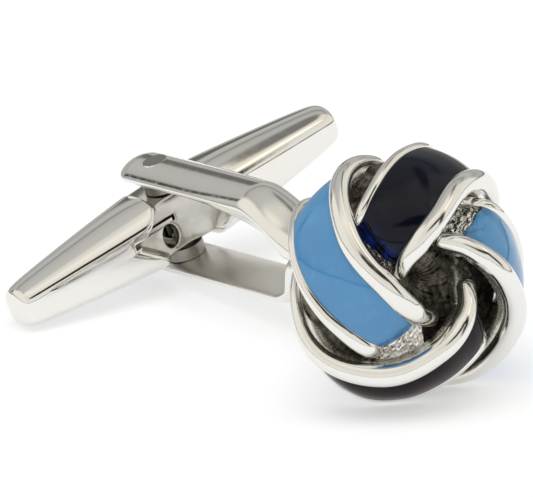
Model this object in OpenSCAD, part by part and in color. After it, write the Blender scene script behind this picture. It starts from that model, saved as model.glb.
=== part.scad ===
// Knot cufflink with a swivel bullet toggle, modelled as it lies on a table.
// Every piece is drawn with the middle of the pivot pin at the origin: x runs along
// the toggle, y along the pin and z from the pin towards the knot. The last transform
// lays the finished cufflink on its side.

/* [Knot] */
// Distance from the pivot pin to the middle of the knot
knot_reach = 18.8; // [18.4:0.1:19.2]
// Tilt of the knot on the end of the shank
knot_tilt = 6; // [5:0.5:7]
// Turn about the shank's axis of the line that it tilts about
tilt_turn = 226; // [220:1:232]
// Radius of the round inner rails where they are thickest
rail_r = 0.55; // [0.5:0.05:0.6]
// Thickness of the cast metal under the enamel
floor_t = 0.5; // [0.4:0.05:0.6]
// Depth of the flat back of the knot below its middle
back_depth = 3.9; // [3.8:0.1:4]
// Radius of that flat back
back_r = 3.3; // [3:0.1:3.6]
// Radius of the stud behind it that is riveted through the shank's foot
stud_r = 1; // [0.8:0.1:1.2]

/* [Enamel] */
// Depth of the enamel below the middle of the rails
enamel_bed = 0.25; // [0.2:0.05:0.3]
// Height of its edges above the middle of the rails
enamel_rise = 0.1; // [0:0.05:0.15]
// Extra height of its crown between the rails
enamel_crown = 0.2; // [0.1:0.05:0.3]
// Gap left all round it
enamel_gap = 0.1; // [0.08:0.01:0.12]

/* [Shank] */
// Width of the two arms
arm_w = 2.6; // [2.4:0.1:2.8]
// Distance from the pin's middle to the outer face of an arm
arm_outer = 3; // [2.95:0.05:3.1]
// Distance from the pin's middle to the inner face of an arm
arm_inner = 2.15; // [2.1:0.05:2.2]
// Distance from the pin to the round end of an arm
arm_end = 2.4; // [2.2:0.1:2.5]
// Distance from the pin to the closed end of the gap between the arms
gap_end = 10.7; // [10.6:0.1:11]
// Half height of the stem where the two arms have joined
stem_h = 1.1; // [1:0.1:1.3]
// Radius of the rolled outer edges
edge_r = 0.4; // [0.2:0.1:0.4]
// Radius of the round foot against the knot
foot_r = 2.3; // [2.1:0.1:2.6]
// Thickness of that foot
foot_t = 0.8; // [0.6:0.1:1]

/* [Pivot] */
// Radius of the pivot pin
pin_r = 0.6; // [0.5:0.05:0.65]
// Radius of the collars that keep the toggle in the middle
collar_r = 0.95; // [0.85:0.05:1]
// Running clearance between the pin and the toggle's bore
pin_play = 0.05; // [0.03:0.01:0.07]

/* [Toggle] */
// Length of the toggle over its tips
toggle_l = 20; // [19:0.5:20]
// Radius that its two cones would meet at
toggle_r = 2.15; // [2.1:0.05:2.15]
// Radius where the blunt tips begin
tip_r = 1.1; // [1:0.05:1.15]
// Half height between the ground flats
toggle_flat = 1.95; // [1.9:0.05:1.98]
// Half height of the neck that the pin passes through
neck_h = 1.5; // [1.4:0.05:1.55]
// Half length of that neck
neck_l = 1.6; // [1.5:0.05:1.7]
// Height of the pocket's floor in front of the pin's middle
pocket_floor = 0.9; // [0.8:0.05:1]

/* [Leaf spring] */
// Length of the blade
blade_l = 2.7; // [2.4:0.1:2.7]
// Depth of the blade
blade_w = 0.9; // [0.8:0.05:1]
// Thickness of the blade
blade_t = 0.18; // [0.14:0.02:0.2]
// Height of the blade above the toggle's middle
blade_y = 0.3; // [0.2:0.05:0.4]

/* [Resting pose] */
// Tilt that sets the knot's rim down and lifts its face
face_lift = 7.16; // [6.8:0.02:7.6]
// Roll that sets it down on the end of its lower arm and one tip of its toggle
roll = 13.56; // [13:0.02:14]

/* [Hidden] */

silver = "#c9c7c2";
spring_steel = "#a9a49a";
light_blue = "#5b9bd0";
navy = "#151a33";

// Brings the middle of the tilted part's outline over the origin and its lowest
// points down to the table
rest_shift = [0, 10.315, 3.352];

// How far the knot's middle lies off the shank's axis, the line that it tilts about and
// the distance from the pin at which the axis meets the knot's flat back
knot_shift = [0.05, 0.15];
tilt_line = [cos(tilt_turn), sin(tilt_turn), 0];
back_reach = knot_reach - back_depth / cos(knot_tilt);

// Gap between two fixed pieces of metal, and how far a cutter reaches past a face
seat_gap = 0.03;
past = 0.1;

// One band of the knot, from its hidden start behind the rim to its end in the middle.
// Each row holds the two rails side by side: turn about the knot's axis in degrees,
// distance from that axis, height above the knot's middle and share of the full
// thickness, inner rail then outer.
band = [
    [-16, 3.95, -2.2, 0.5, 30, 3.35, -2.95, 0.4],
    [8, 5.25, -0.85, 0.5, 48, 5.4, -1.8, 0.3],
    [32, 5.85, 0.55, 0.8, 66, 6.0, -0.4, 0.35],
    [57, 4.95, 2.45, 1.0, 83, 5.8, 0.55, 0.4],
    [83, 3.25, 3.75, 0.95, 99, 5.35, 1.25, 0.45],
    [110, 2.35, 3.8, 0.95, 113, 4.95, 1.75, 0.45],
    [138, 2.0, 3.35, 0.85, 129, 4.55, 1.95, 0.5],
    [166, 1.85, 2.7, 0.8, 140, 4.05, 1.15, 0.55],
    [190, 2.0, 2.1, 0.8, 153, 3.9, 0.75, 0.55],
    [205, 2.1, 1.2, 0.8, 165, 3.8, 0.1, 0.55]];
band_turn = 72;
step = 1 / 3;
// How far each of the four bands sits off its even quarter: turn, then x, y and z
band_slip = [[1, 0.05, 0.1, 0.05], [-0.5, 0.05, 0.05, -0.05], [-0.5, -0.1, 0.1, 0.05],
    [1.5, 0, -0.2, -0.05]];
// Places, counted in rows of the table, where the inner rails and the outer rails end
// and where the enamel lies
inner_last = [7, 6.75, 7, 6.6];
outer_last = 7;
enamel_first = 5 * step;
enamel_last = 19 * step;
rail_sides = 8;
rail_steps = 21;
// Share of a rail's thickness left in the round of its tip
tip_round = 0.8;
// Half width of the kerb that carries each rail at the side of the channel
kerb = 0.12;
// Share of the channel's width at which the enamel reaches its crown
crown_from = 0.3;

// Half outline of the solid middle that carries the bands: distance from the axis, height
core = [[0, -back_depth], [back_r, -back_depth], [3.9, -3.4], [4.3, -2.4], [4.8, -1.2],
    [5.0, -0.4], [5.0, 0.1], [4.5, 0.6], [3.4, 0.9], [1.8, 1.0], [0, 0.8]];

// How each line of the shank's side bends towards the stem: distance from the pin
// where it starts, length that it takes and how far it moves
upper_back = [8.2, 4, arm_outer - stem_h];
upper_gap = [4.2, 8.6, 1.25];
lower_gap = [8.8, 2.4, 0.9];
lower_back = [9, 3.4, arm_outer - stem_h];
gap_steps = 10;
gap_straight = 1.3;
stem_end = back_reach + 0.5;

// The toggle's cones: half length, length of the blunt tip and how much they bulge
half_l = toggle_l / 2;
cap_l = 0.55;
bulge = 1.2;
lobe_steps = 6;
cap_step = 15;
// Opening of the toggle's pocket: height from the toggle's middle, half width there
pocket = [[0, 3.3], [0.8, 2.3], [neck_h, neck_l], [2 * neck_h, neck_l]];
// Slot through the neck under the pocket: half width, half height and depth
slot = [1.1, 1, 0.9];
blade_start = -3.4;
blade_floor = 0.1;

function ease(x) = let (c = min(max(x, 0), 1)) c * c * (3 - 2 * c);
function unit(v) = v / norm(v);

// A smooth curve through the rows of a table, at a place that counts them from 0
function blend4(a, b, c, d, f) =
    0.5 * (2 * b + (c - a) * f + (2 * a - 5 * b + 4 * c - d) * f * f
        + (3 * b - a - 3 * c + d) * f * f * f);
function row_at(place) =
    let (last = len(band) - 1, i = min(max(floor(place), 0), last - 1))
    blend4(band[max(i - 1, 0)], band[i], band[i + 1], band[min(i + 2, last)], place - i);
function around(turn, reach, rise) =
    [reach * cos(turn + band_turn), reach * sin(turn + band_turn), rise];
function inner_at(place) = let (r = row_at(place)) around(r[0], r[1], r[2]);
function outer_at(place) = let (r = row_at(place)) around(r[4], r[5], r[6]);
function inner_r(place) = rail_r * row_at(place)[3];
function outer_r(place) = rail_r * row_at(place)[7];

// The frame of one band at a place: across it, along it and up from it
nudge = 0.05;
function across_at(place) = unit(outer_at(place) - inner_at(place));
function along_at(place) = unit(inner_at(place + nudge) + outer_at(place + nudge)
    - inner_at(place - nudge) - outer_at(place - nudge));
function up_at(place) = unit(cross(across_at(place), along_at(place)));
function width_at(place) = norm(outer_at(place) - inner_at(place));
function spot(place, across, up) = inner_at(place) + across * across_at(place) + up * up_at(place);

// Closed tube through a list of rings. Its twisted sides are split along one diagonal
// or, if crossed, along the other, so that two sides that lie together bend alike
module tube(rings, crossed = false) {
    n = len(rings[0]);
    m = len(rings);
    polyhedron(
        points = [for (r = rings) each r],
        faces = concat(
            [[for (i = [n - 1:-1:0]) i]],
            [for (j = [0:m - 2], i = [0:n - 1])
                let (a = j * n + i, b = j * n + (i + 1) % n, c = b + n, d = a + n)
                each crossed ? [[a, b, d], [b, c, d]] : [[a, b, c], [a, c, d]]],
            [[for (i = [0:n - 1]) (m - 1) * n + i]]));
}

// Ring of points round a rail, square to its path
function ring(ahead, behind, middle, r) =
    let (along = unit(ahead - behind), side = unit(cross(along, middle)), up = cross(side, along))
    [for (i = [0:rail_sides - 1]) let (a = 360 * (i + 0.5) / rail_sides)
        middle + r * (cos(a) * side + sin(a) * up)];
function inner_ring(place) =
    ring(inner_at(place + nudge), inner_at(place - nudge), inner_at(place), inner_r(place));
function outer_ring(place) =
    ring(outer_at(place + nudge), outer_at(place - nudge), outer_at(place), outer_r(place));
function places(last) = [for (i = [0:rail_steps]) last * i / rail_steps];

// Each rail ends in a rounded tip
module rail(rings, end, r) {
    last = len(rings) - 1;
    tube(rings);
    hull() {
        tube([rings[last - 1], rings[last]]);
        translate(end) sphere(r = tip_round * r, $fn = rail_sides);
    }
}

module rails(quarter) {
    last = inner_last[quarter];
    rail([for (p = places(last)) inner_ring(p)], inner_at(last + 2 * nudge), inner_r(last));
    rail([for (p = places(outer_last)) outer_ring(p)], outer_at(outer_last + 2 * nudge),
        outer_r(outer_last));
}

module channel_floor() {
    high = -enamel_bed - enamel_gap;
    low = high - floor_t;
    tube([for (p = [0:step:len(band) - 1]) let (w = width_at(p))
        [spot(p, 0, low), spot(p, w, low), spot(p, w, 0), spot(p, w - kerb, 0),
            spot(p, w - kerb, high), spot(p, kerb, high), spot(p, kerb, 0), spot(p, 0, 0)]]);
}

// Distance across the channel that keeps the enamel's edge off a rail that runs slantwise
function clear_of(r, path, place) =
    (r + enamel_gap) / norm(cross(unit(path), across_at(place)));

module enamel_strip() {
    top = enamel_rise + enamel_crown;
    tube([for (p = [enamel_first:step:enamel_last])
        let (w = width_at(p),
            near = clear_of(inner_r(p), inner_at(p + nudge) - inner_at(p - nudge), p),
            far = w - clear_of(outer_r(p), outer_at(p + nudge) - outer_at(p - nudge), p))
        [spot(p, near, -enamel_bed), spot(p, far, -enamel_bed), spot(p, far, enamel_rise),
            spot(p, (1 - crown_from) * w, top), spot(p, crown_from * w, top),
            spot(p, near, enamel_rise)]], crossed = true);
}

// Places a piece on the tilted knot, in the place of one of its bands or on its flat back
module on_knot() {
    translate([each knot_shift, knot_reach]) rotate(knot_tilt, tilt_line) children();
}
module on_band(quarter) {
    slip = band_slip[quarter];
    on_knot() rotate(90 * quarter) translate([slip[1], slip[2], slip[3]]) rotate(slip[0]) children();
}
module on_back() translate([0, 0, back_reach]) rotate(knot_tilt, tilt_line) children();

// Puts the finished piece in its resting pose
module at_rest() {
    translate(rest_shift) rotate([-face_lift, -roll, 0]) rotate([90, 0, 0]) children();
}

module knot_casting() {
    color(silver) at_rest() union() {
        on_knot() rotate_extrude($fn = 48) polygon(core);
        for (quarter = [0:3]) on_band(quarter) {
            rails(quarter);
            channel_floor();
        }
        on_back() translate([0, 0, -foot_t - seat_gap]) cylinder(h = back_depth, r = stud_r, $fn = 32);
    }
}

module enamel(quarter, paint) color(paint) at_rest() on_band(quarter) enamel_strip();
module enamel_blue_left() enamel(0, light_blue);
module enamel_navy_bottom() enamel(1, navy);
module enamel_blue_right() enamel(2, light_blue);
module enamel_navy_top() enamel(3, navy);

// How far a line of the shank's side has moved at a distance from the pin, and its
// points from the start of its bend to the end of it, or to a given end
function bent(line, z) = line[2] * ease((z - line[0]) / line[1]);
function stops(line, end) =
    let (reach = min(line[0] + line[1], end)) [for (i = [0:gap_steps])
        line[0] + (reach - line[0]) * i / gap_steps];
function turned(list) = [for (i = [len(list) - 1:-1:0]) list[i]];

// Side outline of the shank: the upper arm arches into the stem sooner than the lower one
module shank_outline() {
    gap_stop = gap_end - 0.4;
    difference() {
        polygon(concat(
            [[-arm_end, arm_outer]],
            [for (z = stops(upper_back, stem_end)) [z, arm_outer - bent(upper_back, z)]],
            [[stem_end, stem_h], [stem_end, -stem_h]],
            turned([for (z = stops(lower_back, stem_end)) [z, bent(lower_back, z) - arm_outer]]),
            [[-arm_end, -arm_outer]]));
        polygon(concat(
            [[-arm_end - 1, arm_inner]],
            [for (z = stops(upper_gap, gap_stop)) [z, arm_inner - bent(upper_gap, z)]],
            [[gap_end, arm_inner - gap_straight - 0.3], [gap_end, gap_straight - arm_inner]],
            turned([for (z = stops(lower_gap, gap_stop)) [z, bent(lower_gap, z) - arm_inner]]),
            [[-arm_end - 1, -arm_inner]]));
    }
}

// Section of the shank across its width, with rolled outer edges
module shank_section() {
    flat_w = arm_w - 2 * edge_r;
    flat_h = 2 * arm_outer - 2 * edge_r;
    square([flat_w, 2 * arm_outer], center = true);
    square([arm_w, flat_h], center = true);
    for (x = [-flat_w / 2, flat_w / 2], y = [-flat_h / 2, flat_h / 2])
        translate([x, y]) circle(r = edge_r, $fn = 32);
}

module shank() {
    half = arm_w / 2;
    length = stem_end + arm_end;
    tall = 2 * arm_outer + 2 * past;
    color(silver) at_rest() difference() {
        union() {
            intersection() {
                rotate([0, -90, 0]) translate([0, 0, -half]) linear_extrude(arm_w) shank_outline();
                translate([0, 0, -arm_end]) linear_extrude(length + past) shank_section();
                rotate([90, 0, 0]) translate([0, 0, -tall / 2]) linear_extrude(tall) {
                    translate([0, half - arm_end]) circle(r = half, $fn = 64);
                    translate([-half, half - arm_end]) square([arm_w, length]);
                }
            }
            on_back() translate([0, 0, -foot_t - seat_gap]) cylinder(h = foot_t, r = foot_r, $fn = 64);
        }
        rotate([90, 0, 0]) cylinder(h = tall, r = pin_r + seat_gap, center = true, $fn = 48);
        on_back() {
            translate([0, 0, -seat_gap]) cylinder(h = 2, r = 2 * foot_r);
            translate([0, 0, -foot_t - seat_gap - past])
                cylinder(h = foot_t + 2 * past, r = stud_r + seat_gap, $fn = 48);
        }
    }
}

module pivot_pin() {
    collar_h = arm_inner - neck_h - 2 * seat_gap;
    color(silver) at_rest() rotate([-90, 0, 0]) {
        cylinder(h = 2 * arm_outer, r = pin_r, center = true, $fn = 48);
        for (side = [-1, 1])
            translate([0, 0, side * (neck_h + arm_inner) / 2])
                cylinder(h = collar_h, r = collar_r, center = true, $fn = 48);
    }
}

// Half outline of the toggle: two bulging cones with blunt tips
function toggle_r_at(x) = toggle_r - (toggle_r - tip_r) * pow(x / half_l, bulge);
function cap_point(angle) =
    [half_l - cap_l + cap_l * sin(angle), toggle_r_at(half_l - cap_l) * cos(angle)];
function flipped(list) = [for (p = turned(list)) [-p[0], p[1]]];

module toggle_solid() {
    lobe = [for (i = [0:lobe_steps]) let (x = (half_l - cap_l) * i / lobe_steps) [x, toggle_r_at(x)]];
    cap = [for (a = [cap_step:cap_step:90]) cap_point(a)];
    waist = [for (i = [1:lobe_steps]) lobe[i]];
    rotate([0, 90, 0]) rotate_extrude($fn = 96) rotate([0, 0, 90])
        polygon(concat(flipped(concat(waist, cap)), lobe, cap));
}

module pocket_outline() {
    right = [for (p = pocket) [p[1], p[0]]];
    left = [for (p = turned(pocket)) [-p[1], p[0]]];
    for (side = [0, 1]) mirror([0, side]) polygon(concat(right, left));
}

module toggle_bar() {
    big = 3 * toggle_r;
    cut_t = blade_t + 2 * seat_gap;
    color(silver) at_rest() difference() {
        intersection() {
            toggle_solid();
            cube([toggle_l + 1, 2 * toggle_flat, big], center = true);
        }
        for (side = [-1, 1])
            translate([0, side * (neck_h + 1), 0]) cube([2 * neck_l, 2, big], center = true);
        translate([0, 0, pocket_floor]) linear_extrude(big) pocket_outline();
        translate([-slot[0], -slot[1], -slot[2]]) cube([2 * slot[0], 2 * slot[1], big]);
        translate([blade_start - past, blade_y - cut_t / 2, blade_floor - seat_gap])
            cube([blade_l + 2 * past, cut_t, big]);
        rotate([90, 0, 0]) cylinder(h = 3 * toggle_flat, r = pin_r + pin_play, center = true, $fn = 48);
    }
}

module leaf_spring() {
    color(spring_steel) at_rest()
        translate([blade_start, blade_y - blade_t / 2, blade_floor]) cube([blade_l, blade_t, blade_w]);
}

knot_casting();
enamel_blue_left();
enamel_blue_right();
enamel_navy_top();
enamel_navy_bottom();
shank();
pivot_pin();
toggle_bar();
leaf_spring();
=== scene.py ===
import math

import bmesh
import bpy
import numpy as np
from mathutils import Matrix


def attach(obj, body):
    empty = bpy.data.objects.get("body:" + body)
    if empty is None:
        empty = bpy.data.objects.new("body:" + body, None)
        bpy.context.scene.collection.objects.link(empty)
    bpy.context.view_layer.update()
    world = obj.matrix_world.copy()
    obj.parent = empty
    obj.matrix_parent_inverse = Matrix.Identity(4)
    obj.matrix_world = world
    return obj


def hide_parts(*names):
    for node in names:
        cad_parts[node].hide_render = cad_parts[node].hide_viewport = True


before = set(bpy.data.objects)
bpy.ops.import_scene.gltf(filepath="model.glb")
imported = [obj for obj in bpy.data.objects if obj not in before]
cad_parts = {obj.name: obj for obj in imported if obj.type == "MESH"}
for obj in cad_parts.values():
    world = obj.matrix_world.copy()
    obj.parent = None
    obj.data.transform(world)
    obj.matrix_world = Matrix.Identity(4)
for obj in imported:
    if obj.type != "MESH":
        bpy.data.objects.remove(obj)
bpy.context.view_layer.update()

# Camera.
# A long lens looks down at the table by about 21 degrees, past the swivel bar to the knot.
camera_data = bpy.data.cameras.new("camera")
camera_data.lens = 532.2
camera_data.sensor_width = 36
camera_data.clip_end = 10
camera = bpy.data.objects.new("camera", camera_data)
bpy.context.scene.collection.objects.link(camera)
camera_right = [0.7919, -0.60894, -0.04565, 0]
camera_up = [0.25442, 0.26106, 0.93119, 0]
camera_back = [-0.55513, -0.74902, 0.36166, 0]
camera_place = [-0.2083348, -0.2781932, 0.1393934, 1]
camera.matrix_world = [camera_right, camera_up, camera_back, camera_place]
bpy.context.scene.camera = camera
bpy.context.scene.view_settings.view_transform = "Standard"


# Studio.
# A white table top under one wide soft lamp, in a plain surround of grey and cream walls
# with a few cards, which show as the bright and dark bands in the polished metal.


class Signal:
    """One output socket in a node tree. Arithmetic on it adds Math nodes."""

    def __init__(self, tree, socket):
        self.tree, self.socket = tree, socket

    def through(self, operation, *values):
        """The result of a Math node."""
        return add(self.tree, "ShaderNodeMath", {"operation": operation}, values)

    def __add__(self, other):
        return self.through("ADD", self, other)

    def __radd__(self, other):
        return self.through("ADD", other, self)

    def __sub__(self, other):
        return self.through("SUBTRACT", self, other)

    def __rsub__(self, other):
        return self.through("SUBTRACT", other, self)

    def __mul__(self, other):
        return self.through("MULTIPLY", self, other)

    def __rmul__(self, other):
        return self.through("MULTIPLY", other, self)

    def __truediv__(self, other):
        return self.through("DIVIDE", self, other)

    def __rtruediv__(self, other):
        return self.through("DIVIDE", other, self)

    def __pow__(self, other):
        return self.through("POWER", self, other)

    def __gt__(self, other):
        return self.through("GREATER_THAN", self, other)

    def __lt__(self, other):
        return self.through("LESS_THAN", self, other)

    def between(self, low, high):
        """0 below low, 1 above high and smooth in between."""
        return add(self.tree, "ShaderNodeMapRange", {"interpolation_type": "SMOOTHSTEP"},
                   {"Value": self, "From Min": low, "From Max": high})


def add(tree, kind, settings, values, output=0):
    """Adds one node: its settings first, then a value or a link for each named or numbered socket."""
    node = tree.nodes.new(kind)
    for name, value in settings.items():
        if name == "stops":
            ramp = node.color_ramp
            while len(ramp.elements) < len(value):
                ramp.elements.new(0.5)
            for element, (place, colour) in zip(ramp.elements, value):
                element.position, element.color = place, (*colour, 1)
        else:
            setattr(node, name, value)
    pairs = values.items() if isinstance(values, dict) else enumerate(values)
    for key, value in pairs:
        if isinstance(value, Signal):
            tree.links.new(value.socket, node.inputs[key])
        else:
            node.inputs[key].default_value = value
    return Signal(tree, node.outputs[output])


def mixed(tree, factor, one, two):
    """Colour one where the factor is 0 and colour two where it is 1."""
    one, two = (colour if isinstance(colour, Signal) else (*colour, 1) for colour in (one, two))
    return add(tree, "ShaderNodeMix", {"data_type": "RGBA"}, {0: factor, 6: one, 7: two}, 2)


world = bpy.data.worlds.new("surround")
bpy.context.scene.world = world
world.use_nodes = True
sky = world.node_tree
sky.nodes.clear()
gaze = add(sky, "ShaderNodeTexCoord", {}, {}, "Generated")
north = add(sky, "ShaderNodeSeparateXYZ", {}, [gaze], 1)
rise = add(sky, "ShaderNodeSeparateXYZ", {}, [gaze], 2)


def card(centre, half_wide, half_high, soft):
    """1 inside a soft-edged ellipse of directions. Its centre is an azimuth from +Y towards +X and an
    elevation, and all angles are in degrees."""
    azimuth, elevation = math.radians(centre[0]), math.radians(centre[1])
    level = math.cos(elevation)
    to = (math.sin(azimuth) * level, math.cos(azimuth) * level, math.sin(elevation))
    across = (math.cos(azimuth), -math.sin(azimuth), 0.0)
    up = tuple(np.cross(across, to).tolist())
    ahead, wide, high = (add(sky, "ShaderNodeVectorMath", {"operation": "DOT_PRODUCT"}, [gaze, axis], 1)
                         for axis in (to, across, up))
    wide = wide / math.sin(math.radians(half_wide))
    high = high / math.sin(math.radians(half_high))
    reach = (wide * wide + high * high) ** 0.5
    return (1 - reach.between(1 - soft, 1 + soft)) * (ahead > 0)


# Each wall is a ramp over the sine of the elevation, from the table's level to straight up
grey_wall = add(sky, "ShaderNodeValToRGB", {"stops": (
    (0.05, (0.50, 0.495, 0.47)), (0.19, (0.48, 0.475, 0.45)), (0.28, (0.42, 0.415, 0.40)),
    (0.50, (0.56, 0.555, 0.54)), (0.62, (0.52, 0.515, 0.50)), (0.68, (0.30, 0.295, 0.28)),
    (0.76, (0.50, 0.495, 0.48)), (1.0, (0.60, 0.59, 0.56)))}, {"Fac": rise})
cream_wall = add(sky, "ShaderNodeValToRGB", {"stops": (
    (0.04, (0.93, 0.91, 0.84)), (0.55, (0.86, 0.84, 0.77)), (0.66, (0.80, 0.78, 0.72)),
    (0.83, (0.92, 0.87, 0.78)), (0.95, (1.02, 0.98, 0.89)), (1.0, (0.8, 0.78, 0.72)))}, {"Fac": rise})
paint = mixed(sky, (north * -1).between(-0.10, 0.06), grey_wall, cream_wall)
# The cards as the camera sees them: centre, half width, half height, softness and colour
CARDS = (
    ((-72, 32), 42, 28, 0.15, (0.95, 0.93, 0.87)),  # wide and light, on the left
    ((181, 39), 24, 8, 0.2, (0.03, 0.029, 0.027)),  # dark, in front on the right
    ((27, 18), 6, 7, 0.35, (0.15, 0.148, 0.14)),  # small and dark, low behind
    ((88, 62), 14, 5, 0.4, (0.22, 0.215, 0.20)),  # dark, high behind on the right
    ((151, 27), 9, 23, 0.3, (0.02, 0.02, 0.025)),  # tall and dark, on the right
    ((134, 47), 9, 6, 0.5, (1.3, 1.26, 1.08)),  # small and bright, above the tall one
    ((-22, 19), 3.2, 9, 0.35, (0.03, 0.03, 0.03)))  # narrow and dark, on the left
for centre, half_wide, half_high, soft, colour in CARDS:
    paint = mixed(sky, card(centre, half_wide, half_high, soft), paint, colour)
# The dark gap under the walls, and the white table below it
paint = mixed(sky, rise.between(0.005, 0.05), (0.10, 0.098, 0.09), paint)
paint = mixed(sky, rise.between(-0.06, -0.02), (0.95, 0.95, 0.93), paint)
surround = add(sky, "ShaderNodeBackground", {}, {"Color": paint, "Strength": 1.0})
world_output = sky.nodes.new("ShaderNodeOutputWorld")
sky.links.new(surround.socket, world_output.inputs["Surface"])

lamp_data = bpy.data.lights.new("soft_lamp", "AREA")
lamp_data.shape = "DISK"
lamp_data.size = 0.5
lamp_data.energy = 0.95
lamp = bpy.data.objects.new("soft_lamp", lamp_data)
lamp.location = (-0.1, -0.1, 0.6)
lamp.rotation_euler = (math.radians(-10), math.radians(-10), 0)
lamp.visible_glossy = False
bpy.context.scene.collection.objects.link(lamp)


def grid_faces(rows, columns, ring=False):
    """Quads of a grid of points stored row by row, with each row closed into a ring if asked."""
    i, j = np.meshgrid(np.arange(rows - 1), np.arange(columns - (not ring)), indexing="ij")
    i, j = i.ravel(), j.ravel()
    m = (j + 1) % columns
    return np.stack([i * columns + j, (i + 1) * columns + j, (i + 1) * columns + m, i * columns + m], 1)


def build(name, points, faces, material, body=None, merge=0.0):
    """A smooth-shaded mesh object at the origin from points in metres and faces, welded if asked."""
    mesh = bpy.data.meshes.new(name)
    mesh.from_pydata(np.asarray(points).tolist(), [], [f.tolist() for f in faces])
    if merge:
        work = bmesh.new()
        work.from_mesh(mesh)
        bmesh.ops.remove_doubles(work, verts=work.verts, dist=merge)
        bmesh.ops.dissolve_degenerate(work, edges=work.edges, dist=merge / 2)
        bmesh.ops.recalc_face_normals(work, faces=work.faces)
        work.to_mesh(mesh)
        work.free()
    mesh.polygons.foreach_set("use_smooth", [True] * len(mesh.polygons))
    mesh.update()
    mesh.materials.append(material)
    piece = bpy.data.objects.new(name, mesh)
    bpy.context.scene.collection.objects.link(piece)
    if body:
        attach(piece, body)
    return piece


def opened(material):
    """A material's node tree, its main shader and its object coordinates in millimetres."""
    tree = material.node_tree
    place = add(tree, "ShaderNodeTexCoord", {}, {}, "Object")
    place = add(tree, "ShaderNodeVectorMath", {"operation": "SCALE"}, {0: place, "Scale": 1000.0})
    return tree, tree.nodes["Principled BSDF"], place


def finish(name):
    """A new material, with its node tree, main shader and object coordinates in millimetres."""
    material = bpy.data.materials.new(name)
    material.use_nodes = True
    return material, *opened(material)


def connect(tree, shader, **sockets):
    """Links values to the shader's sockets, named with _ for a space."""
    for name, value in sockets.items():
        socket = shader.inputs[name.replace("_", " ")]
        if isinstance(value, Signal):
            tree.links.new(value.socket, socket)
        else:
            socket.default_value = value


def noise(tree, place, scale, detail, **more):
    """Soft noise at a scale counted per millimetre."""
    return add(tree, "ShaderNodeTexNoise", {}, {"Vector": place, "Scale": scale, "Detail": detail, **more})


def bumped(tree, height, metres, strength=1.0):
    """A surface bent by a height that is worth so many metres."""
    return add(tree, "ShaderNodeBump", {}, {"Height": height, "Strength": strength, "Distance": metres})


def circle(sides):
    """Angles of a full turn in even steps."""
    return np.linspace(0, 2 * np.pi, sides + 1)[:-1]


def turned(radius, height, sides):
    """A turned surface: columns of radius and height, carried round a full circle."""
    turn = circle(sides)
    return np.stack([radius * np.cos(turn), radius * np.sin(turn), height + 0 * radius * turn], -1)


# Radii in metres of the rings of points on the round table top
TABLE_RINGS, TABLE_SIDES = np.array([[0.0001], [0.05], [0.4]]), 96
table_paint, tree, shader, place = finish("table_top")
table_tone = mixed(tree, noise(tree, place, 0.4, 3.0), (0.68, 0.70, 0.735), (0.70, 0.72, 0.75))
connect(tree, shader, Base_Color=table_tone, Roughness=0.7, Specular_IOR_Level=0.1,
        Emission_Color=(1, 1, 1, 1), Emission_Strength=0.43)
table_points = turned(TABLE_RINGS, 0, TABLE_SIDES).reshape(-1, 3)
table_faces = grid_faces(len(TABLE_RINGS), TABLE_SIDES, ring=True)
table_top = build("table_top", table_points, table_faces, table_paint)

# Knot rails.
# The head is one casting of four crescent bands that wind the same way, each with two
# round rails. They are polished and plated, and end in blunt tips in the middle.
RAIL_R, RAIL_SIDES, RAIL_STEPS, RAIL_TIP, TIP_R = 0.55, 24, 150, 0.4, 0.001
# Where the knot's middle is from the pivot, how far the knot tilts and about which line.
# The band's turn and its rows' turns are in degrees, other sizes in millimetres
KNOT_REACH, KNOT_SHIFT = 18.8, (0.05, 0.15)
KNOT_TILT, TILT_TURN = math.radians(6), math.radians(226)
BAND_TURN = 72.0
# A row for each place along one band: turn, reach, rise and share of the thickness of its
# inner rail, and then of its outer rail
BAND = np.array([
    [-16, 3.95, -2.2, 0.5, 30, 3.35, -2.95, 0.4],
    [8, 5.25, -0.85, 0.5, 48, 5.4, -1.8, 0.3],
    [32, 5.85, 0.55, 0.8, 66, 6.0, -0.4, 0.35],
    [57, 4.95, 2.45, 1.0, 83, 5.8, 0.55, 0.4],
    [83, 3.25, 3.75, 0.95, 99, 5.35, 1.25, 0.45],
    [110, 2.35, 3.8, 0.95, 113, 4.95, 1.75, 0.45],
    [138, 2.0, 3.35, 0.85, 129, 4.55, 1.95, 0.5],
    [166, 1.85, 2.7, 0.8, 140, 4.05, 1.15, 0.55],
    [190, 2.0, 2.1, 0.8, 153, 3.9, 0.75, 0.55],
    [205, 2.1, 1.2, 0.8, 165, 3.8, 0.1, 0.55]])
# How far each band sits off its even quarter (turn, x, y, z), and the rows of BAND at which
# its inner and outer rails end
BAND_SLIP = np.array([
    [1, 0.05, 0.1, 0.05], [-0.5, 0.05, 0.05, -0.05], [-0.5, -0.1, 0.1, 0.05], [1.5, 0, -0.2, -0.05]])
RAIL_LAST = [(7.0, 7.0), (6.75, 7.0), (7.0, 7.0), (6.6, 7.0)]
# The left band's inner and outer rails grow stouter from this row up to twice this row: by
# what share of the radius, and how much of that they move towards each other (or apart)
LEFT_FROM, LEFT_STOUTER, LEFT_OVER = 2.6, (0.12, 0.75), (-0.6, 0.9)
# Pieces are drawn about the pivot pin in millimetres: x along the bar, y along the pin, z
# towards the knot. They are then laid down, with the tilt and roll at which the cufflink
# rests on the rim of its knot, the end of its lower arm and one tip of its bar.
FACE_LIFT, ROLL = math.radians(7.16), math.radians(13.56)
REST = np.array([0.0, 10.315, 3.352])


def turn_x(angle):
    """Rotation matrix about x."""
    c, s = math.cos(angle), math.sin(angle)
    return np.array([[1, 0, 0], [0, c, -s], [0, s, c]])


def turn_y(angle):
    """Rotation matrix about y."""
    c, s = math.cos(angle), math.sin(angle)
    return np.array([[c, 0, s], [0, 1, 0], [-s, 0, c]])


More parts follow.
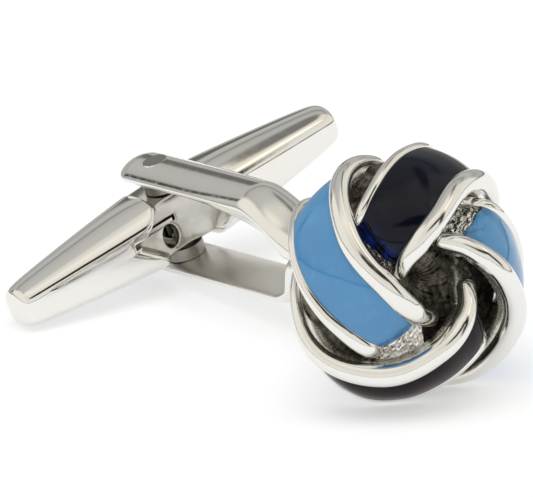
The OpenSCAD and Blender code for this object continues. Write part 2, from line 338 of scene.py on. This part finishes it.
def turn_z(angle):
    """Rotation matrix about z."""
    c, s = math.cos(angle), math.sin(angle)
    return np.array([[c, -s, 0], [s, c, 0], [0, 0, 1]])


LAY = turn_y(-ROLL) @ turn_x(-FACE_LIFT) @ turn_x(math.pi / 2)
TILT = turn_z(TILT_TURN) @ turn_x(KNOT_TILT) @ turn_z(-TILT_TURN)


def laid(points):
    """Millimetres about the pivot to metres on the table: turn, then shift, then scale."""
    return (np.asarray(points, float) @ LAY.T + REST) / 1000


def band_row(places, outer):
    """Turn, reach, rise and thickness of a rail at places counted in rows of BAND. Between two rows runs a
    cubic that leaves each of them with the slope between its neighbours."""
    places = np.asarray(places, float)
    i = np.clip(np.floor(places).astype(int), 0, len(BAND) - 2)
    f = (places - i)[:, None]
    a, b, c, d = (BAND[np.clip(i + k, 0, len(BAND) - 1)][:, 4 * outer:4 * outer + 4] for k in (-1, 0, 1, 2))
    return 0.5 * (2 * b + (c - a) * f + (2 * a - 5 * b + 4 * c - d) * f**2 + (3 * b - a - 3 * c + d) * f**3)


def rail_line(places, outer, quarter):
    """A rail's middle about the knot's middle: turned by quarters and moved by the band's own slip."""
    row = band_row(places, outer)
    turn, *shift = BAND_SLIP[quarter]
    angle = np.radians(row[:, 0] + BAND_TURN + turn)
    line = np.stack([row[:, 1] * np.cos(angle), row[:, 1] * np.sin(angle), row[:, 2]], 1) + shift
    return line @ turn_z(math.radians(90 * quarter)).T


def rail_radius(places, outer):
    """Radius of a rail at places counted in rows of BAND."""
    return RAIL_R * band_row(places, outer)[:, 3]


def tilted(points):
    """Points about the knot's middle to points about the pivot: a turn about the tilt line, then a shift."""
    return points @ TILT.T + [*KNOT_SHIFT, KNOT_REACH]


def unit(v):
    """Vectors of length one."""
    return v / np.linalg.norm(v, axis=-1, keepdims=True)


def tube(line, radius, sides, tip, dome_steps=6):
    """A round tube along a line: circles square to the path, with domed ends of the given length."""
    dome = np.linspace(0, np.pi / 2, dome_steps + 1)[:-1]
    first, last = unit(line[0] - line[1]), unit(line[-1] - line[-2])
    start = line[0] + first * (tip * np.cos(dome))[:, None]
    end = line[-1] + last * (tip * np.sin(dome[1:]))[:, None]
    path = np.concatenate([start, line, end])
    size = np.concatenate([radius[0] * np.sin(dome), radius, radius[-1] * np.cos(dome[1:])])
    size = np.maximum(size, TIP_R)
    along = unit(np.gradient(path, axis=0))
    side = unit(np.cross(along, path))
    up = np.cross(side, along)
    angle = circle(sides)[None, :, None]
    ring = np.cos(angle) * side[:, None] + np.sin(angle) * up[:, None]
    return path[:, None] + size[:, None, None] * ring


def joined(grids):
    """Several closed tubes as one list of points and faces, with each end closed by a fan."""
    points, faces, offset = [], [], 0
    for grid in grids:
        rows, columns = grid.shape[:2]
        ends = np.stack([grid[0].mean(0), grid[-1].mean(0)])
        points.append(np.concatenate([grid.reshape(-1, 3), ends]))
        body = grid_faces(rows, columns, ring=True)
        j = np.arange(columns)
        k = (j + 1) % columns
        low = np.stack([j, k, np.full(columns, rows * columns)], 1)
        top = (rows - 1) * columns
        high = np.stack([top + k, top + j, np.full(columns, rows * columns + 1)], 1)
        faces += [body + offset, low + offset, high + offset]
        offset += rows * columns + 2
    return np.concatenate(points), [f for part in faces for f in part]


def carried(tree, name):
    """A number that the piece's own points carry, put there by mark."""
    return add(tree, "ShaderNodeAttribute", {"attribute_name": name}, {}, "Fac")


def plating(name, tone, rough, smudge, wave, dull_and_shade_tone=None, dull_rough=None):
    """Polished silver-coloured plating: faint warm clouds, a haze of fine wipe marks and a slight waviness in
    millimetres. Where the points carry a mark of 1 the plating is rougher and takes another tone: left
    unpolished on the arms' inner faces, and a painted shade deep in the bar's pocket."""
    material, tree, shader, place = finish(name)
    cloud = noise(tree, place, 0.35, 4.0)
    wipe = noise(tree, place, 2.5, 6.0, Roughness=0.65)
    fine = noise(tree, place, 0.8, 2.0)
    warm = tuple(one * share for one, share in zip(tone, (1.0, 0.985, 0.955)))
    colour = mixed(tree, cloud.between(0.35, 0.65), tone, warm)
    haze = rough + smudge * wipe.between(0.45, 0.75)
    if dull_and_shade_tone:
        dull = carried(tree, "dull")
        # The marked tone: unpolished metal on the arms, painted shade in the bar's pocket
        colour = mixed(tree, dull * (0.6 + 0.4 * fine.between(0.3, 0.7)), colour, dull_and_shade_tone)
        haze = haze + dull * (dull_rough - haze)
    connect(tree, shader, Metallic=1.0, Base_Color=colour, Roughness=haze,
            Normal=bumped(tree, fine, wave / 1000))
    return material


def mark(piece, name, values):
    """Stores one number per point of a piece, for its material to read."""
    layer = piece.data.attributes.new(name, "FLOAT", "POINT")
    layer.data.foreach_set("value", np.asarray(values, np.float32))


rail_plating = plating("polished_rail_plating", (0.83, 0.82, 0.80), 0.11, 0.09, 0.004)
grids = []
for quarter in range(4):
    for outer in (0, 1):
        places = np.linspace(0, RAIL_LAST[quarter][outer], RAIL_STEPS)
        line, radius = rail_line(places, outer, quarter), rail_radius(places, outer)
        if quarter == 0:
            more = LEFT_STOUTER[outer] * radius * np.clip(places / LEFT_FROM - 1, 0, 1)
            inward = rail_line(places, 1 - outer, quarter) - line
            line = line + (more * LEFT_OVER[outer])[:, None] * unit(inward)
            radius = radius + more
        grids.append(tube(line, radius, RAIL_SIDES, RAIL_TIP))
points, faces = joined(grids)
knot_rails = build("knot_rails", laid(tilted(points)), faces, rail_plating, "knot_and_shank")
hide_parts("knot_casting")

# Knot channels.
# The sunk floors between the rails, cast with a grain of small round beads that keys
# the enamel. The beads show where the enamel stops short.
CHANNEL_ROWS, CHANNEL_COLUMNS, UNDER_COLUMNS = 420, 48, 6
# Heights over the band of the bed that the beads stand on and of the underside, and the
# width and the slope of the smooth kerb at each rail
BED, UNDERSIDE, KERB_W, KERB_SLOPE = -0.42, -0.8, 0.22, 0.1
# How far apart the beads are, and as shares of that how far they stray and their radius
BEAD_PITCH, BEAD_STRAY, BEAD_R, LATTICE = 0.36, 0.22, (0.44, 0.58), 64
# Past this row the floor of the left band is a beaded ledge, which runs in under the next
# band's inner rail between these two of its rows
LEDGE_FROM, LEDGE_ONTO, LEDGE_UNDER = 6.15, (3.8, 2.9), 0.45


def band_frame(places, quarter):
    """Middle lines of both rails, and the unit vectors across the band and up from it."""
    inner, outer = rail_line(places, 0, quarter), rail_line(places, 1, quarter)
    across = unit(outer - inner)
    along = unit(np.gradient(inner + outer, axis=0))
    return inner, outer, across, unit(np.cross(across, along))


def distance_along(line):
    """How far along a line each of its points lies: the sum of the steps before it."""
    return np.concatenate([[0], np.cumsum(np.linalg.norm(np.diff(line, axis=0), axis=1))])


def beads(u, v, pitch, seed):
    """Height of a field of half balls on a jittered six-sided lattice: the highest of the near balls."""
    rng = np.random.default_rng(seed)
    jitter = rng.uniform(-BEAD_STRAY, BEAD_STRAY, (LATTICE, LATTICE, 2)) * pitch
    size = rng.uniform(*BEAD_R, (LATTICE, LATTICE)) * pitch
    step = pitch * math.sqrt(3) / 2
    row = np.round(v / step).astype(int)
    best = np.zeros_like(u)
    for dr in (-1, 0, 1):
        r = row + dr
        shift = (r % 2) * pitch / 2
        column = np.round((u - shift) / pitch).astype(int)
        for dc in (-1, 0, 1):
            c = column + dc
            cell = (r % LATTICE, c % LATTICE)
            across = u - (c * pitch + shift + jitter[cell][..., 0])
            along = v - (r * step + jitter[cell][..., 1])
            best = np.maximum(best, np.sqrt(np.maximum(size[cell]**2 - across**2 - along**2, 0)))
    return best


def channel(quarter):
    """A floor on a grid of places along the band and shares of its width: straight lines from rail to rail,
    raised by the beads, over a plain underside."""
    places = np.linspace(0, len(BAND) - 1, CHANNEL_ROWS)
    inner, outer, across, up = band_frame(places, quarter)
    if quarter == 0:
        stop = int(np.searchsorted(places, LEDGE_FROM))
        onto = rail_line(LEDGE_ONTO, 0, 1) - [0, 0, LEDGE_UNDER]
        share = np.linspace(0, 1, CHANNEL_ROWS - stop)[:, None]
        inner[stop:] = inner[stop] * (1 - share) + onto[0] * share
        outer[stop:] = outer[stop] * (1 - share) + onto[1] * share
        across[stop:] = unit(outer[stop:] - inner[stop:])
        run = np.mean(onto, axis=0) - (inner[stop] + outer[stop]) / 2
        up[stop:] = unit(np.cross(across[stop:], run))
    wide = np.linalg.norm(outer - inner, axis=1)
    v = wide[:, None] * np.linspace(0, 1, CHANNEL_COLUMNS)
    u = distance_along((inner + outer) / 2)[:, None] + 0 * v
    kerb = np.clip((KERB_W - np.minimum(v, wide[:, None] - v)) / KERB_SLOPE, 0, 1)
    if quarter == 0:
        # The ledge has no kerb, from a few rows past its start
        kerb[stop + 4:] = 0
    height = (BED + beads(u, v, BEAD_PITCH, 11 + quarter)) * (1 - kerb)
    top = inner[:, None] + v[..., None] * across[:, None] + height[..., None] * up[:, None]
    back = wide[:, None] * np.linspace(1, 0, UNDER_COLUMNS)
    low = inner[:, None] + back[..., None] * across[:, None] + UNDERSIDE * up[:, None]
    return np.concatenate([top, low], 1)


cast_grain, tree, shader, place = finish("grained_cast_plating")
tarnish = noise(tree, place, 1.3, 5.0).between(0.40, 0.65)
pits = noise(tree, place, 9.0, 4.0)
connect(tree, shader, Metallic=1.0, Base_Color=mixed(tree, tarnish, (0.93, 0.92, 0.89), (0.62, 0.59, 0.52)),
        Roughness=0.16 + 0.2 * pits, Normal=bumped(tree, pits, 0.00002, 0.6))
points, faces = joined([channel(quarter) for quarter in range(4)])
knot_channels = build("knot_channels", laid(tilted(points)), faces, cast_grain, "knot_and_shank")

# Knot core.
# The middle of the casting: rough inside, with the hollow painted dark as shade, and a closed,
# brushed and plated back that the shank's foot is fixed to.
CORE_STEPS, CORE_SIDES, CORE_EASED = 160, 240, 7
# Radius and height of its outline, from the middle of the back round to the middle of the
# hollow
CORE_OUTLINE = np.array([
    [0.001, -3.9], [3.3, -3.9], [3.9, -3.4], [4.3, -2.4], [4.8, -1.2], [5.3, -0.3],
    [5.0, 0.3], [4.0, 0.7], [3.0, 0.9], [2.1, 0.9], [1.4, 0.7], [0.7, 0.5], [0.001, 0.4]])
# Lumps of the rough side: waves in a turn, and radians for each millimetre of the outline.
# Then their height, and how far below the middle they start
LUMP_WAVES = (3, 2.1), (5, -3.2), (8, 4.5), (13, 6.1), (21, -9.0), (34, 14.0)
LUMP_HIGH, LUMP_FROM = 0.16, 1.5
# The painted shade of the hollow starts this far below the middle and is full this much higher
HOLLOW_FROM, HOLLOW_OVER = 0.9, 0.5


def eased(outline, steps, over):
    """An outline at even steps along its length, where each point is the mean of so many around it."""
    length = distance_along(outline)
    places = np.linspace(0, length[-1], steps)
    even = [np.pad(np.interp(places, length, column), over // 2, mode="edge") for column in outline.T]
    return places, [np.convolve(column, np.ones(over) / over, "valid") for column in even]


along, (radius, height) = eased(CORE_OUTLINE, CORE_STEPS, CORE_EASED)
turn = circle(CORE_SIDES)
rng = np.random.default_rng(5)
lumps = sum(rng.uniform(0.4, 1) * np.cos(a * turn + b * along[:, None] + rng.uniform(0, 6))
            for a, b in LUMP_WAVES) / len(LUMP_WAVES)
front = np.clip((height + LUMP_FROM) / LUMP_FROM, 0, 1)
core_points = turned(radius[:, None], height[:, None] + LUMP_HIGH * lumps * front[:, None], CORE_SIDES)
dark_cast, tree, shader, place = finish("dark_rough_casting")
blotches = noise(tree, place, 1.6, 6.0, Roughness=0.6)
pits = noise(tree, place, 5.0, 4.0)
hollow = carried(tree, "hollow")
# The hollow is painted dark as shade, in blotches; the back has the plating's own tone
hollow_shade_tone = mixed(tree, blotches.between(0.35, 0.7), (0.05, 0.045, 0.038), (0.26, 0.24, 0.20))
back_tone = mixed(tree, blotches.between(0.3, 0.8), (0.80, 0.79, 0.77), (0.72, 0.70, 0.66))
connect(tree, shader, Metallic=0.95, Base_Color=mixed(tree, hollow, back_tone, hollow_shade_tone),
        Roughness=0.16 + 0.10 * blotches + hollow * (0.06 + 0.25 * pits),
        Normal=bumped(tree, pits * (0.06 + 0.94 * hollow), 0.00008))
points, faces = joined([core_points])
knot_core = build("knot_core", laid(tilted(points)), faces, dark_cast, "knot_and_shank")
open_side = np.clip((np.repeat(height, CORE_SIDES) + HOLLOW_FROM) / HOLLOW_OVER, 0, 1)
mark(knot_core, "hollow", np.concatenate([open_side, [0.0, 1.0]]))

# Enamel.
# Hard glossy enamel poured into the four channels, two in sky blue and two in navy. It
# creeps up a little at the rails and ends in a ragged edge where it was not filled.
POUR_ROWS, POUR_COLUMNS = 240, 48
# A strip starts at this row of BAND, and the way along it is taken over this many rows each way
POUR_FROM, SMALL_STEP = 1.6, 0.02
# Waves of the ragged end: how many, and the first one's angle over the width
RAGGED_WAVES, RAGGED_ANGLE = 11, 2.9
# Heights over the band of the creeping edge, of the crown above that, and of the underside
CREEP, CROWN, POUR_UNDER = 0.08, 0.24, -0.38
# Share of the inner rail's radius left bare, and how far the top drops at the near and the
# far end, over which shares of the length
RAIL_BARE, END_DROP, NEAR_DROP, FAR_DROP = 0.72, 0.42, 0.02, 0.035
# Where a strip laps over its outer rail it thins to a lip: from which share of the width,
# over which share, and how thick
LIP_FROM, LIP_OVER, LIP_T = 0.86, 0.1, 0.05
# The end tone starts at this share of the length and is full after this share more
TONE_FROM, TONE_OVER = 0.84, 0.14


def pour(quarter, last, ragged_by, bare, seed):
    """A strip of enamel on a grid of places along the band and shares of its width. Its top is a parabola
    across, with both ends dropping by a cube, over a flat underside. A sum of cosines makes the far end
    ragged."""
    share, run = np.linspace(0, 1, POUR_COLUMNS), np.linspace(0, 1, POUR_ROWS)
    rng = np.random.default_rng(seed)
    ragged = sum(rng.uniform(0.3, 1) / (1 + k) * np.cos(k * RAGGED_ANGLE * share + rng.uniform(0, 6))
                 for k in range(1, RAGGED_WAVES + 1))
    places = (POUR_FROM + (last + ragged_by * ragged - POUR_FROM) * run[:, None]).ravel()
    side, run = np.tile(share, POUR_ROWS), np.repeat(run, POUR_COLUMNS)
    inner, outer = rail_line(places, 0, quarter), rail_line(places, 1, quarter)
    across = unit(outer - inner)
    behind, ahead = (rail_line(places + step, 0, quarter) + rail_line(places + step, 1, quarter)
                     for step in (-SMALL_STEP, SMALL_STEP))
    up = unit(np.cross(across, ahead - behind))
    wide = np.linalg.norm(outer - inner, axis=1)
    near, far = RAIL_BARE * rail_radius(places, 0), bare * rail_radius(places, 1)
    level = inner + (near + (wide - near - far) * side)[:, None] * across
    high = CREEP + CROWN * (1 - (2 * side - 1)**2)
    high = high - END_DROP * np.clip((run - 1 + FAR_DROP) / FAR_DROP, 0, 1)**3
    high = high - END_DROP * np.clip((NEAR_DROP - run) / NEAR_DROP, 0, 1)**3
    top, low = level + high[:, None] * up, level + POUR_UNDER * up
    if bare < 0:
        lip = np.clip((side - LIP_FROM) / LIP_OVER, 0, 1)[:, None]
        low = low * (1 - lip) + (top - LIP_T * up) * lip
    grid = (POUR_ROWS, POUR_COLUMNS, 3)
    return np.concatenate([top.reshape(grid), low.reshape(grid)[:, ::-1]], 1)


def enamel(name, deep, pale, swirl_and_glint, pinhole, end_tone_and_glint, shine, coat):
    """Glossy enamel: colour pooled in slow clouds, a brighter swirl, fine bubbles and another tone at the
    ragged end, under a clear fired surface. On the navy strips the swirl and the end tone are painted
    glints: blue on the top strip, red in the bottom one's swirl."""
    material, tree, shader, place = finish(name)
    pool = noise(tree, place, 0.28, 3.0)
    swirl = noise(tree, place, 1.1, 5.0, Distortion=1.2)
    streak = noise(tree, place, 1.7, 4.0, Distortion=0.8)
    ripple = noise(tree, place, 0.6, 2.0)
    bubble = add(tree, "ShaderNodeTexVoronoi", {}, {"Vector": place, "Scale": 0.9})
    colour = mixed(tree, pool.between(0.35, 0.65), deep, pale)
    colour = mixed(tree, 0.35 * swirl.between(0.5, 0.7), colour, swirl_and_glint)
    colour = mixed(tree, 0.6 * (bubble < 0.035), colour, pinhole)
    colour = mixed(tree, carried(tree, "near_end") * streak.between(0.42, 0.60), colour, end_tone_and_glint)
    connect(tree, shader, Base_Color=colour, Roughness=0.06 + 0.05 * swirl, Specular_IOR_Level=shine,
            Coat_Weight=coat, Coat_Roughness=0.03, Normal=bumped(tree, ripple, 0.00001))
    return material


sky_blue = enamel("sky_blue_enamel", (0.064, 0.245, 0.50), (0.074, 0.27, 0.53), (0.09, 0.30, 0.56),
                  (0.7, 0.8, 0.9), (0.02, 0.12, 0.30), 0.5, 0.3)
# The navy's swirl and end tones are painted blue glints
navy_blue = enamel("navy_enamel", (0.0030, 0.0035, 0.009), (0.004, 0.006, 0.016), (0.006, 0.010, 0.035),
                   (0.01, 0.02, 0.08), (0.006, 0.03, 0.26), 0.22, 0.0)
# Navy tinted towards plum, partly as a painted reflection, with a painted red glint as its swirl
plum_navy = enamel("plum_navy_enamel", (0.012, 0.008, 0.010), (0.016, 0.011, 0.013), (0.06, 0.009, 0.009),
                   (0.02, 0.02, 0.05), (0.02, 0.02, 0.04), 0.05, 0.0)
# Band by band: name, node, paint, slot, end in rows of BAND, raggedness, and the share of
# the outer rail's radius that is left bare
for quarter, (name, node, paint, slot, last, ragged_by, bare) in enumerate((
        ("blue_enamel_left", "enamel_blue_left", sky_blue, "blue_enamel", 6.38, 0.09, 0.72),
        ("navy_enamel_bottom", "enamel_navy_bottom", plum_navy, "navy_enamel", 6.35, 0.07, -0.8),
        ("blue_enamel_right", "enamel_blue_right", sky_blue, "blue_enamel", 6.30, 0.13, 0.72),
        ("navy_enamel_top", "enamel_navy_top", navy_blue, "navy_enamel", 6.55, 0.12, 0.72))):
    points, faces = joined([pour(quarter, last, ragged_by, bare, 20 + quarter)])
    strip = build(name, laid(tilted(points)), faces, paint, "knot_and_shank")
    near_end = np.clip((np.linspace(0, 1, POUR_ROWS) - TONE_FROM) / TONE_OVER, 0, 1)
    mark(strip, "near_end", np.concatenate([np.repeat(near_end, 2 * POUR_COLUMNS), [0.0, 1.0]]))
    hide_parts(node)

# Shank.
# Two arms, stamped with a domed back and rolled edges, that close into one stem and are
# fixed to the back of the knot by a round foot.
ARM_W, ARM_OUTER, ARM_INNER, ARM_END = 2.6, 3.0, 2.15, 2.4
ARM_DOME, ARM_SQUARE = 0.40, 3.4
STEM_H, STEM_END = 1.1, 14.7
ARM_STEPS, BOW_STEPS, SWING_STEPS = 150, 61, 41
# Where each arm's back bends in towards the stem and over what length, then the same for
# its inner face and by how much that bends
UPPER_ARM = (8.2, 4.0), (4.2, 8.6, 1.25)
LOWER_ARM = (9.0, 3.4), (8.8, 2.4, 0.9)
# From here the two inner faces close, over this length, until each is this far past the
# middle
CLOSE_FROM, CLOSE_OVER, CLOSE_LAP = 9.9, 1.1, 0.06


def ease(x):
    """Smooth step from 0 to 1: three squares less two cubes."""
    c = np.clip(x, 0, 1)
    return c * c * (3 - 2 * c)


def arm(side, back_bend, face_bend):
    """One arm: its plan outline, a long U, is scaled towards its middle line while the height runs over the
    domed back, round the edge and along the flat inner face. The section is a superellipse."""
    half = ARM_W / 2
    bow_at = half - ARM_END
    straight, bow = np.linspace(STEM_END, bow_at, ARM_STEPS), np.linspace(0, np.pi, BOW_STEPS)[1:-1]
    rim = np.concatenate([
        np.stack([np.full(ARM_STEPS, half), straight], 1),
        np.stack([half * np.cos(bow), bow_at - half * np.sin(bow)], 1),
        np.stack([np.full(ARM_STEPS, -half), straight[::-1]], 1)])
    spine = np.stack([np.zeros(len(rim)), np.maximum(rim[:, 1], bow_at)], 1)
    swing = np.linspace(0, np.pi, SWING_STEPS)
    out = np.sin(swing)**(2 / ARM_SQUARE)
    level = np.sign(np.cos(swing)) * np.abs(np.cos(swing))**(2 / ARM_SQUARE)
    flat = spine[:, None] + (rim - spine)[:, None] * out[None, :, None]
    z = flat[..., 1]
    back = ARM_OUTER - (ARM_OUTER - STEM_H) * ease((z - back_bend[0]) / back_bend[1])
    face = ARM_INNER - face_bend[2] * ease((z - face_bend[0]) / face_bend[1])
    closed = ease((z - CLOSE_FROM) / CLOSE_OVER)
    face = face * (1 - closed) - CLOSE_LAP * closed
    height = (back + face) / 2 + (back - face) / 2 * level - ARM_DOME * out**2 * (level + 1) / 2
    return np.stack([flat[..., 0], side * height, z], -1)


def read_back(items, what):
    """One vector for each item of a mesh, as an array."""
    values = np.zeros(3 * len(items), np.float32)
    items.foreach_get(what, values)
    return values.reshape(-1, 3).astype(float)


arm_plating = plating("polished_arm_plating", (0.83, 0.82, 0.795), 0.11, 0.10, 0.004,
                      dull_and_shade_tone=(0.88, 0.87, 0.84), dull_rough=0.34)
arms = np.stack([arm(1, *UPPER_ARM), arm(-1, *LOWER_ARM)])
faces = grid_faces(*arms.shape[1:3])
faces = np.concatenate([faces, faces + arms.shape[1] * arms.shape[2]])
shank_arms = build("shank_arms", laid(arms.reshape(-1, 3)), faces, arm_plating, "knot_and_shank", merge=2e-6)
# The polish stops at the inner faces, where a point's normal turns this far towards the
# other arm, and over this much more. Both are measured the way the arms were drawn
INNER_FROM, INNER_OVER = 0.6, 0.3
spots = (read_back(shank_arms.data.vertices, "co") * 1000 - REST) @ LAY
facing = read_back(shank_arms.data.vertices, "normal") @ LAY
inwards = -np.sign(spots[:, 1]) * facing[:, 1]
mark(shank_arms, "dull", np.clip((inwards - INNER_FROM) / INNER_OVER, 0, 1))
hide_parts("shank")

FOOT_T, FOOT_GAP, FOOT_SIDES, BACK_REACH = 0.8, 0.03, 96, 14.878
# Radius and height of the foot's turned outline
FOOT_OUTLINE = np.array([
    [0.001, 0.0], [1.6, 0.0], [2.1, 0.05], [2.28, 0.2], [2.3, 0.4], [2.3, 0.7], [2.2, 0.8], [0.001, 0.8]])
foot_points = turned(FOOT_OUTLINE[:, :1], FOOT_OUTLINE[:, 1:] - FOOT_T - FOOT_GAP, FOOT_SIDES)
points, faces = joined([foot_points @ TILT.T + [0, 0, BACK_REACH]])
shank_foot = build("shank_foot", laid(points), faces, arm_plating, "knot_and_shank")

# Pivot pin.
# The turned pin that the bar swings on, with a collar each side of the bar's neck. It is
# pressed into both arms, and the stretch between them is painted darker as shade, and made duller.
PIN_CHANGE = (2.05, 2.2)  # distances from the pivot between which the tone changes


def coated(node, material):
    """Gives a CAD node that keeps its own mesh a finish of this file."""
    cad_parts[node].data.materials.clear()
    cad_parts[node].data.materials.append(material)


pin_plating = plating("turned_pin_plating", (0.68, 0.665, 0.64), 0.18, 0.12, 0.002)
tree, shader, place = opened(pin_plating)
from_pivot = add(tree, "ShaderNodeVectorMath", {"operation": "SUBTRACT"}, [place, tuple(REST)])
along_pin = add(tree, "ShaderNodeVectorMath", {"operation": "DOT_PRODUCT"}, [from_pivot, tuple(LAY[:, 1])], 1)
# Between the arms the pin is painted darker as shade, and made rougher
between_arms = 1 - (along_pin * along_pin).between(PIN_CHANGE[0]**2, PIN_CHANGE[1]**2)
residue = noise(tree, place, 2.5, 3.0)
connect(tree, shader, Base_Color=mixed(tree, between_arms, (0.70, 0.685, 0.66), (0.30, 0.285, 0.26)),
        Roughness=0.15 + between_arms * (0.12 + 0.15 * residue))
coated("pivot_pin", pin_plating)

# Bar.
# Two bullet-shaped lobes with flattened sides and a pocket cut across the middle, where
# the pin passes through a lower neck. The bar is cast, then tumbled until its edges are
# round.
BAR_HALF, BAR_HIGH, BAR_DEEP, BAR_FLAT = 10.0, 2.15, 2.40, 1.95
TAPER, TAPER_POWER, FACE_FLAT, TIP_DOME = 0.488, 1.2, 0.90, 0.10
NECK_HALF, NECK_SIDE, BORE_R = 1.6, 1.5, 0.66
# The pocket: half its length in the middle, how fast it narrows up to a kink, and its floor
POCKET_HALF, POCKET_NARROWS, POCKET_KINK, POCKET_FLOOR = 3.3, 1.25, 0.8, 0.9
# In its floor an oval hole and a slit: middle, half length and half width, and depth
OVAL_AT, OVAL_HALF, OVAL_FLOOR = (-1.0, -0.5), (0.42, 0.55), -0.2
SLIT_AT, SLIT_HALF, SLIT_FLOOR = (-2.0, 0.3), (1.5, 0.14), 0.05
# The skin is looked for in this box round the pivot, in cells of this size
SKIN_BOX, SKIN_CELL = np.array([10.4, 2.4, 2.6]), 0.09
# The pocket is painted a darker tone as shade, and made rougher, from this deep, fully this much deeper
POCKET_SHADE_FROM, POCKET_SHADE_OVER = 0.15, 0.35


def soft_max(a, b, over):
    """The larger of two values, blended over a width."""
    return 0.5 * (a + b + np.sqrt((a - b)**2 + over * over))


def oval(a, b, half_a, half_b):
    """Distance, roughly, to an oval of two half widths: negative inside."""
    return (np.sqrt((a / half_a)**2 + (b / half_b)**2 + 1e-9) - 1) * half_a


def rod_field(p):
    """Signed distance, roughly, to the bar before it is cut: an oval rod that tapers by a power of its
    length, with flattened faces and sides and domed tips."""
    x, y, z = p[..., 0], p[..., 1], p[..., 2]
    taper = 1 - TAPER * (np.abs(x) / BAR_HALF)**TAPER_POWER
    high, deep = BAR_HIGH * taper, BAR_DEEP * taper
    rod = soft_max(oval(y, z, high, deep), np.abs(z) - FACE_FLAT * deep, over=0.10)
    dome = TIP_DOME * ((y / high)**2 + (z / deep)**2)
    rod = soft_max(rod, np.abs(x) - BAR_HALF + dome, over=0.42)
    return soft_max(rod, np.abs(y) - BAR_FLAT, over=0.12)


def bar_field(p):
    """Signed distance, roughly, to the bar: negative inside. Each cut in turn is blended out of the rod."""
    x, y, z = p[..., 0], p[..., 1], p[..., 2]
    length, side = np.abs(x), np.abs(y)
    shoulder = soft_max(length - NECK_HALF, NECK_SIDE - side, over=0.2)
    bar = soft_max(rod_field(p), -shoulder, over=0.12)
    half_open = POCKET_HALF - POCKET_NARROWS * np.minimum(side, POCKET_KINK)
    half_open = half_open - np.maximum(side - POCKET_KINK, 0)
    pocket = soft_max(length - half_open, POCKET_FLOOR - z, over=0.7)
    bar = soft_max(bar, -pocket, over=0.26)
    hole = oval(x - OVAL_AT[0], y - OVAL_AT[1], *OVAL_HALF)
    bar = soft_max(bar, -np.maximum(hole, OVAL_FLOOR - z), over=0.12)
    slit = np.maximum(np.abs(y - SLIT_AT[1]) - SLIT_HALF[1], np.abs(x - SLIT_AT[0]) - SLIT_HALF[0])
    bar = soft_max(bar, -np.maximum(slit, SLIT_FLOOR - z), over=0.06)
    bore = np.sqrt(x * x + z * z + 1e-9) - BORE_R
    return soft_max(bar, -bore, over=0.03)


def gradient(field, points, step=1e-3):
    """Slope of a field by differences each way."""
    return np.stack([(field(points + e) - field(points - e)) / (2 * step) for e in np.eye(3) * step], 1)


def skin(field, low, high, cell, moves=8):
    """Closed quad skin of the surface where a field is zero: one point in each grid cell that the surface
    crosses, moved onto the surface along the field's slope, and one quad for each grid edge that it cuts."""
    axes = [np.arange(a, b, cell) for a, b in zip(low, high)]
    inside = field(np.stack(np.meshgrid(*axes, indexing="ij"), -1)) < 0
    n = np.array(inside.shape)
    count = sum(inside[i:n[0] - 1 + i, j:n[1] - 1 + j, k:n[2] - 1 + k].astype(int)
                for i in (0, 1) for j in (0, 1) for k in (0, 1))
    crossed = (count > 0) & (count < 8)
    index = np.full(crossed.shape, -1)
    index[crossed] = np.arange(crossed.sum())
    centre = np.array(low) + (np.argwhere(crossed) + 0.5) * cell
    points = centre
    for _ in range(moves):
        slope, here = gradient(field, points), field(points)
        points = points - (here / np.maximum((slope**2).sum(1), 1e-6))[:, None] * slope
        points = centre + np.clip(points - centre, -cell, cell)
    quads = []
    for a in range(3):
        b, c = (a + 1) % 3, (a + 2) % 3
        cut = np.argwhere(np.diff(inside.astype(np.int8), axis=a) != 0)
        cut = cut[(cut[:, b] > 0) & (cut[:, c] > 0) & (cut[:, b] < n[b] - 1) & (cut[:, c] < n[c] - 1)]
        around = []
        for db, dc in ((1, 1), (0, 1), (0, 0), (1, 0)):
            cell_at = cut.copy()
            cell_at[:, b] -= db
            cell_at[:, c] -= dc
            around.append(index[tuple(cell_at.T)])
        quad = np.stack(around, 1)
        out = inside[tuple(cut.T)]
        quad[~out] = quad[~out][:, ::-1]
        quads.append(quad)
    return points, np.concatenate(quads)


# The darker tone in the bar's pocket is a painted shade
bar_plating = plating("polished_bar_plating", (0.83, 0.82, 0.80), 0.06, 0.08, 0.004,
                      dull_and_shade_tone=(0.50, 0.48, 0.44), dull_rough=0.22)
points, faces = skin(bar_field, -SKIN_BOX, SKIN_BOX, SKIN_CELL)
toggle_bar = build("swivel_bar", laid(points), faces, bar_plating, "toggle")
normals = unit(gradient(bar_field, points)) @ LAY.T
toggle_bar.data.normals_split_custom_set_from_vertices(normals.tolist())
# Painted shade: darker and rougher the deeper a point lies inside the uncut rod
mark(toggle_bar, "dull", np.clip((-rod_field(points) - POCKET_SHADE_FROM) / POCKET_SHADE_OVER, 0, 1))
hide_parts("toggle_bar")

# Snap spring.
# The thin blade of spring steel that snaps the bar open or shut. It stands in the slit in
# the bar's pocket.
coated("leaf_spring", plating("spring_steel", (0.62, 0.60, 0.56), 0.2, 0.15, 0.002))
